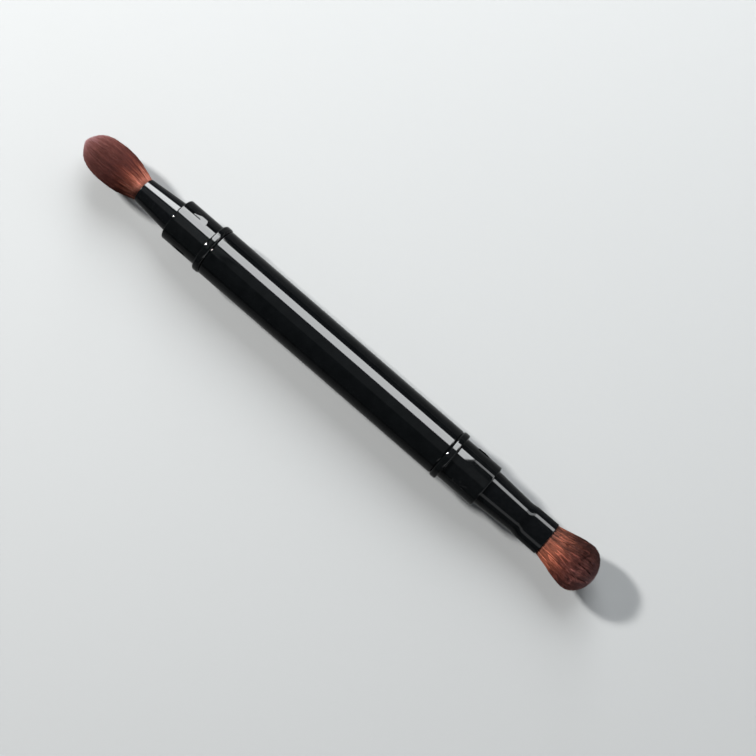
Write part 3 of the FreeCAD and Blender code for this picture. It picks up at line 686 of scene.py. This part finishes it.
def strands(name, tuft, rng, locks, count, rings, starts, ends, depth, wave, drift, gather, thick, jitter,
            shade, fair=0.012, stray=0.0, painted_side_shade=(0.0, 0.0)):
    """Hairs as thin tapering three-sided spikes, gathered in locks.
    starts, ends: where hairs begin and end, as distances from the mouth; depth: how far under the
    outline they may run, as a share; wave, drift: own wriggle (mm) and lean (rad); gather: how far a
    lock closes towards its end; thick: widest width in mm; jitter: how far ends miss the outline in mm;
    shade: how much painted shade darkens the sides and undersides of locks; fair: share of fair hairs; stray: how far
    their ends stand off in mm; dusk: how much painted shade darkens hairs on the +Y and on the -Y side."""
    d1 = ends(rng, count)
    d0 = starts(rng, count, d1)
    k = rng.integers(0, locks.number, count)
    spread = rng.normal(0, 0.42, count)
    spread = np.clip(spread, -1.1, 1.1)
    pitch = 2 * math.pi / locks.number
    sink = rng.uniform(0, 1, count) ** 1.5
    is_fair = rng.uniform(0, 1, count) < fair * locks.fair[k]
    sink = np.where(is_fair, 0.0, sink)
    spread = np.where(is_fair, 0.45 * spread, spread)
    t = np.linspace(0, 1, rings)[None, :]
    d = d0[:, None] + (d1 - d0)[:, None] * t
    share = np.clip(d / tuft.length, 0, 1)
    free = smooth(d / 3.0)                              # nothing strays near the ferrule
    ratio = tuft.outer(d1) / tuft.uncut(d1)
    r = ratio[:, None] * (1 - depth * sink[:, None] * (1 - 0.7 * t)) * tuft.uncut(np.clip(d, -8, tuft.length + 0.9))
    hill = np.sin(math.pi * np.clip(share, 0, 1) ** 0.8)
    lift = locks.play[k][:, None] * hill * (1 - 0.55 * np.abs(spread[:, None]))
    lift = lift - 0.10 * locks_relief(locks) * (spread[:, None] ** 2) * hill * free
    own = rng.uniform(0, 2 * math.pi, (2, count))[:, :, None]
    freq = rng.uniform(0.3, 0.9, (2, count))[:, :, None]
    on_top = smooth((d - locks.rise[k][:, None] + 0.5) / 1.0) * smooth((locks.fall[k][:, None] + 0.5 - d) / 1.0)
    r = r + free * (lift + wave * np.sin(freq[0] * d + own[0]))
    r = r + smooth(d / 1.2) * is_fair[:, None] * (0.36 * on_top - 0.28)
    r = r + (rng.normal(0, jitter, count) + np.abs(rng.normal(0, 1, count)) * stray)[:, None] * t ** 2 * free
    # locks part less and less where hairs end near the axis, so that the end shows no star
    hold = smooth(tuft.outer(d1) / (0.75 * tuft.outer(np.linspace(0, tuft.length, 50)).max()))
    close = 1 - gather * hold[:, None] * smooth(share * 1.15) * rng.uniform(0.6, 1.0, count)[:, None]
    turn = locks.theta[k][:, None] + pitch * (spread[:, None] * close + 4 * (1 - hold)[:, None] * np.sin(own[0]))
    turn = turn + free * (locks.tilt[k][:, None] * share
                          + locks.bend[k][:, None] * np.sin(locks.freq[k][:, None] * d + locks.phase[k][:, None]))
    turn = turn + free * (rng.normal(0, drift, count)[:, None] * (d - d0[:, None]) / tuft.length
                          + wave * 1.5 * np.sin(freq[1] * d + own[1]) / np.maximum(r, 1.2))
    limit = tuft.outer(np.clip(d, -8, 0.0))
    r = np.where(d < 0.15, np.minimum(r, limit - 0.02), r)
    centre = tuft.point(d, np.maximum(r, 0.0), turn)
    tangent = np.gradient(centre, axis=1)
    tangent /= np.linalg.norm(tangent, axis=2, keepdims=True)
    out = centre * np.array([0, 1, 1])
    out = out - tangent * np.sum(out * tangent, 2, keepdims=True)
    out /= np.maximum(np.linalg.norm(out, axis=2, keepdims=True), 1e-9)
    side = np.cross(tangent, out)
    width = thick * (rng.uniform(0.7, 1.3, count) + 0.25 * is_fair)[:, None] * np.interp(t, [0, 0.55, 0.9, 1.0], [1.0, 0.95, 0.55, 0.2])
    body = rings - 1                                    # the last ring is a single point
    verts = []
    for c in range(3):
        w = 2 * math.pi * c / 3
        verts.append(centre[:, :body] + (out[:, :body] * math.cos(w) + side[:, :body] * math.sin(w))
                     * width[:, :body, None] * 0.577)
    verts = np.stack(verts, 2).reshape(count, body * 3, 3)
    verts = np.concatenate([verts, centre[:, -1:, :]], 1)
    per = body * 3 + 1
    quads, tris = [], [(0, 2, 1)]
    for i in range(body - 1):
        for c in range(3):
            c2 = (c + 1) % 3
            quads.append((i * 3 + c, i * 3 + c2, (i + 1) * 3 + c2, (i + 1) * 3 + c))
    for c in range(3):
        tris.append(((body - 1) * 3 + c, (body - 1) * 3 + (c + 1) % 3, per - 1))
    quads, tris = np.array(quads), np.array(tris)
    # map places: u is the hair's tone, as a narrow column; v the share of the tuft's length, shifted by lock
    # painted shade: a hair's tone drops with how far it lies to the +Y side of the tuft, and with how far it lies to
    # the -Y side, each by its own amount
    painted_shade = centre[:, rings // 2, 1] / max(p for p in tuft.outer(np.linspace(0, tuft.length, 50)))
    painted_shade = np.where(painted_shade > 0, painted_side_shade[0] * painted_shade, -painted_side_shade[1] * painted_shade)
    # painted shade: hairs at the sides of a lock and hairs lying deep under the outline get a darker tone, standing in
    # for the shade between and under locks
    tone = 0.56 + hold * locks.tone[k] - painted_shade - shade * (0.55 * hold * spread ** 2 + 0.5 * sink) + rng.normal(0, 0.07, count)
    # fair hairs: lighter hairs, their tone set high enough that they also carry painted highlight streaks
    tone = np.where(is_fair, rng.uniform(0.84, 0.98, count) - 0.5 * np.maximum(painted_shade, 0), np.clip(tone, 0.02, 0.86))
    move = (locks.shift[k] + rng.normal(0, 0.03, count))[:, None]
    ring_v = np.clip(share + move * np.clip(share * 8, 0, 1), 0, 1)
    vert_v = np.concatenate([np.repeat(ring_v[:, :body], 3, axis=1), ring_v[:, -1:]], 1)
    du = 0.0022
    vert_u = np.concatenate([np.tile(np.array([0, 1, 2]) * du, body), [du]])[None, :] + tone[:, None]
    offs = (np.arange(count) * per)[:, None, None]
    q = (quads[None] + offs).reshape(-1, 4)
    f = (tris[None] + offs).reshape(-1, 3)
    uu, vv = vert_u.ravel(), vert_v.ravel()
    loops = np.concatenate([q.ravel(), f.ravel()])
    total = np.concatenate([np.full(len(q), 4), np.full(len(f), 3)])
    start = np.concatenate([[0], np.cumsum(total)[:-1]])
    me = bpy.data.meshes.new(name)
    me.vertices.add(count * per)
    me.vertices.foreach_set("co", (verts.reshape(-1, 3) * MM).astype(np.float32).ravel())
    me.loops.add(len(loops))
    me.loops.foreach_set("vertex_index", loops.astype(np.int32))
    me.polygons.add(len(total))
    me.polygons.foreach_set("loop_start", start.astype(np.int32))
    me.polygons.foreach_set("loop_total", total.astype(np.int32))
    me.polygons.foreach_set("use_smooth", np.ones(len(total), bool))
    me.update(calc_edges=True)
    layer = me.uv_layers.new(name="OFBake")
    layer.uv.foreach_set("vector", np.stack([uu[loops], vv[loops]], -1).astype(np.float32).ravel())
    ob = bpy.data.objects.new(name, me)
    scene.collection.objects.link(ob)
    return ob


def locks_relief(locks):
    return 60.0 / locks.number


def make_heart(name, tuft, rng, depth, root, root_r, thin_root):
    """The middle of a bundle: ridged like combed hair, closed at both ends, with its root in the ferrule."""
    turns = 120
    d = np.concatenate([[-root], np.linspace(-root + 0.05, -0.05, 8),
                        tuft.length * (1 - np.cos(np.linspace(0.08, math.pi - 0.02, 60))) / 2])
    d = np.minimum(d, tuft.length - depth)
    a = np.linspace(0, 2 * math.pi, turns, endpoint=False)
    ridge = np.zeros(turns)
    for k in range(28):
        ridge += rng.normal(0, 1) * np.cos(rng.integers(9, 60) * a + rng.uniform(0, 6.28))
    ridge /= np.abs(ridge).max()
    r = tuft.outer(np.clip(d * tuft.length / (tuft.length - depth), -8, tuft.length - 0.02))
    r = np.where(d < 0, np.interp(d, [-root, 0], [root_r, tuft.outer(0.0)]) - 0.01, r - depth * smooth(d / 2.0))
    r = np.maximum(r, 0.15)
    free = smooth(d / 3.0)
    rr = r[:, None] * (1 + 0.028 * free[:, None] * ridge[None, :])
    th = a[None, :] + 0 * rr
    pts = tuft.point(d[:, None] + 0 * rr, rr, th)
    if thin_root is not None:       # the root is round where the ferrule is round
        z_share = np.interp(d, [-root, -thin_root[1], -thin_root[0], 0], [1 / tuft.thin_at[0], 1 / tuft.thin_at[0], 1, 1])
        pts[:, :, 2] *= z_share[:, None]
    rows = len(d)
    verts = pts.reshape(-1, 3)
    caps = np.array([pts[0].mean(0), pts[-1].mean(0)])
    verts = np.concatenate([verts, caps]) * MM
    i, j = np.meshgrid(np.arange(rows - 1), np.arange(turns), indexing="ij")
    j2 = (j + 1) % turns
    quads = np.stack([i * turns + j, (i + 1) * turns + j, (i + 1) * turns + j2, i * turns + j2], -1).reshape(-1, 4)
    n = rows * turns
    faces = [tuple(int(x) for x in q) for q in quads]
    faces += [(n, j, (j + 1) % turns) for j in range(turns)]
    base = (rows - 1) * turns
    faces += [(n + 1, base + (j + 1) % turns, base + j) for j in range(turns)]
    if tuft.way < 0:
        faces = [f[::-1] for f in faces]
    me = bpy.data.meshes.new(name)
    me.from_pydata([tuple(v) for v in verts], [], faces)
    me.polygons.foreach_set("use_smooth", np.ones(len(faces), bool))
    share = np.clip(np.append(np.repeat(d, turns), [d[0], d[-1]]) / tuft.length, 0, 1)
    # the heart uses only the low tones: painted shade
    col = np.append(np.tile(np.arange(turns) / turns, rows), [0.5, 0.5]) * 0.35
    layer = me.uv_layers.new(name="OFBake")
    loops = np.empty(len(me.loops), np.int32)
    me.loops.foreach_get("vertex_index", loops)
    cu = col[loops].reshape(-1)
    # faces that close the turn end at 1 and not at 0
    starts = np.empty(len(me.polygons), np.int32)
    totals = np.empty(len(me.polygons), np.int32)
    me.polygons.foreach_get("loop_start", starts)
    me.polygons.foreach_get("loop_total", totals)
    face_of = np.repeat(np.arange(len(starts)), totals)
    high = np.zeros(len(starts))
    np.maximum.at(high, face_of, cu)
    cu = np.where((cu < 0.07) & (high[face_of] > 0.28), cu + 0.35, cu)
    layer.uv.foreach_set("vector", np.stack([np.clip(cu, 0, 1), share[loops]], -1).astype(np.float32).ravel())
    me.update()
    ob = bpy.data.objects.new(name, me)
    scene.collection.objects.link(ob)
    return ob


def area_ends(tuft, low):
    """Ends spread evenly over the outline beyond low (a share of the length)."""
    d = np.linspace(low * tuft.length, tuft.length, 4000)
    r = tuft.outer(d)
    ds = np.hypot(np.diff(d), np.diff(r))
    w = np.concatenate([[0], np.cumsum(ds * (r[1:] + r[:-1]) / 2)])
    w /= w[-1]
    return lambda rng, n: np.interp(rng.uniform(0, 1, n), w, d)


def make_tuft(side, tuft, mats, rng, locks, heart, long_hair, end_hair, crown_hair):
    """heart: (depth, root, root radius, where the root turns round); the others are strand settings: long_hair
    starts in the ferrule, end_hair fills the outline up to the end, crown_hair thickens the end itself."""
    pieces = [make_heart("tuft_%s_heart" % side, tuft, rng, *heart)]
    # the heart gets the darker copy of the hair colour: painted shade
    pieces[0].data.materials.append(mats[1])
    long = tuft.length

    def from_mouth(rng, n, d1):
        return rng.uniform(-0.5, -0.15, n)

    def behind(rng, n, d1):
        return np.maximum(d1 - rng.uniform(2.2, 5.5, n), -0.3)

    def short(rng, n, d1):
        return d1 - rng.uniform(1.0, 2.2, n)

    def flank_ends(rng, n):
        return np.minimum(long * rng.triangular(0.22, 0.62, 0.97, n), long - 0.4)

    pieces.append(strands("tuft_%s_long_hair" % side, tuft, rng, locks, starts=from_mouth, ends=flank_ends, **long_hair))
    pieces.append(strands("tuft_%s_end_hair" % side, tuft, rng, locks, starts=behind, ends=area_ends(tuft, 0.30), **end_hair))
    pieces.append(strands("tuft_%s_crown_hair" % side, tuft, rng, locks, starts=short, ends=area_ends(tuft, 0.74), **crown_hair))
    for ob in pieces[1:]:
        ob.data.materials.append(mats[0])
    for ob in pieces:
        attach(ob, "root")
        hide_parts("tuft_" + side)


barrel_mat, collar_mat, ferrule_mat, resin_mat = mat_barrel(), mat_collar(), mat_ferrule(), mat_resin()
make_barrel(barrel_mat)
make_collar("a", -43.0, 3.85, collar_mat)
make_collar("b", -36.0, 4.35, collar_mat)
make_ferrule_a(ferrule_mat)
make_ferrule_b(ferrule_mat)

HAIR_A = [(0.0, (0.600, 0.236, 0.170)), (0.05, (0.450, 0.154, 0.104)), (0.12, (0.235, 0.066, 0.043)),
          (0.25, (0.100, 0.025, 0.018)), (0.40, (0.064, 0.0165, 0.0135)), (0.62, (0.078, 0.0225, 0.0180)),
          (0.82, (0.140, 0.050, 0.044)), (1.0, (0.265, 0.138, 0.145))]
HAIR_B = [(0.0, (0.204, 0.066, 0.041)), (0.22, (0.276, 0.081, 0.048)), (0.42, (0.153, 0.043, 0.028)),
          (0.60, (0.177, 0.055, 0.044)), (0.8, (0.310, 0.118, 0.102)), (1.0, (0.250, 0.128, 0.128))]
# brightness by tone: the low end darkens hairs in painted shade, the high end lights fair hairs up with painted
# highlight
TONES_A = [(0.0, 0.40), (0.35, 0.74), (0.6, 1.0), (0.86, 1.3), (1.0, 1.7)]
TONES_B = [(0.0, 0.22), (0.35, 0.62), (0.6, 1.05), (0.86, 1.6), (1.0, 3.0)]
SHINE_A, SHINE_B, SHINE_INNER = (0.55, 0.7, 0.10, 0.02), (0.45, 0.6, 0.16, 0.02), (0.8, 0.9, 0.03, 0.0)
# angle round the tuft in degrees, where the streak rises and falls, how much likelier fair hairs are; a streak is
# lighter hairs whose brightness is partly painted highlight
STREAKS_B = [(5, 1.6, 4.2, 9.0), (10, 5.2, 7.8, 9.0), (-29, 0.6, 7.6, 10.0), (-37, 2.0, 6.0, 7.0), (-12, 3.0, 6.5, 8.0),
             (22, 0.8, 3.0, 7.0), (-22, 7.0, 10.0, 8.0)]
CALM_A, CALM_B = (0.14, 0.42, 0.6, 0.5), (0.45, 0.85, 1.0, 0.7)

rng_a = np.random.default_rng(20)
make_tuft(
    "a", TUFT_A, (mat_hair("hair_a_dyed", HAIR_A, TONES_A, SHINE_A, CALM_A),
                  mat_hair("hair_a_inner_painted_shade", HAIR_A, TONES_A, SHINE_INNER, CALM_A, 0.5)),
    rng_a, Locks(rng_a, 120, 0.06, 0.045, 0.012, 0.11, 0.07), (0.42, 7.0, 3.32, None),
    dict(count=3500, rings=8, depth=0.10, wave=0.035, drift=0.10, gather=0.15, thick=0.095, jitter=0.05, shade=0.22,
         painted_side_shade=(0.0, 0.95)),
    dict(count=6600, rings=5, depth=0.05, wave=0.03, drift=0.06, gather=0.10, thick=0.085, jitter=0.09, shade=0.16,
         stray=0.05, painted_side_shade=(0.0, 0.5)),
    dict(count=3600, rings=4, depth=0.05, wave=0.02, drift=0.03, gather=0.10, thick=0.085, jitter=0.10, shade=0.16,
         stray=0.05, painted_side_shade=(0.0, 0.5)))
rng_b = np.random.default_rng(47)
make_tuft(
    "b", TUFT_B, (mat_hair("hair_b_dyed", HAIR_B, TONES_B, SHINE_B, CALM_B),
                  mat_hair("hair_b_inner_painted_shade", HAIR_B, TONES_B, SHINE_INNER, CALM_B, 0.4)),
    rng_b, Locks(rng_b, 78, 0.11, 0.085, 0.020, 0.10, 0.06, 0.14, STREAKS_B), (0.55, 9.0, 3.69, (5.0, 7.2)),
    dict(count=4100, rings=8, depth=0.14, wave=0.05, drift=0.14, gather=0.40, thick=0.105, jitter=0.06, shade=0.34,
         fair=0.016, painted_side_shade=(1.12, -0.02)),
    dict(count=7200, rings=5, depth=0.06, wave=0.04, drift=0.08, gather=0.20, thick=0.09, jitter=0.07, shade=0.30,
         fair=0.008, stray=0.05, painted_side_shade=(0.62, 0.0)),
    dict(count=4200, rings=4, depth=0.05, wave=0.02, drift=0.06, gather=0.08, thick=0.09, jitter=0.07, shade=0.26,
         fair=0.004, stray=0.04, painted_side_shade=(0.5, 0.0)))

for name in ("glue_plug_a", "glue_plug_b"):
    for slot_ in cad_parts[name].material_slots:
        slot_.material = resin_mat
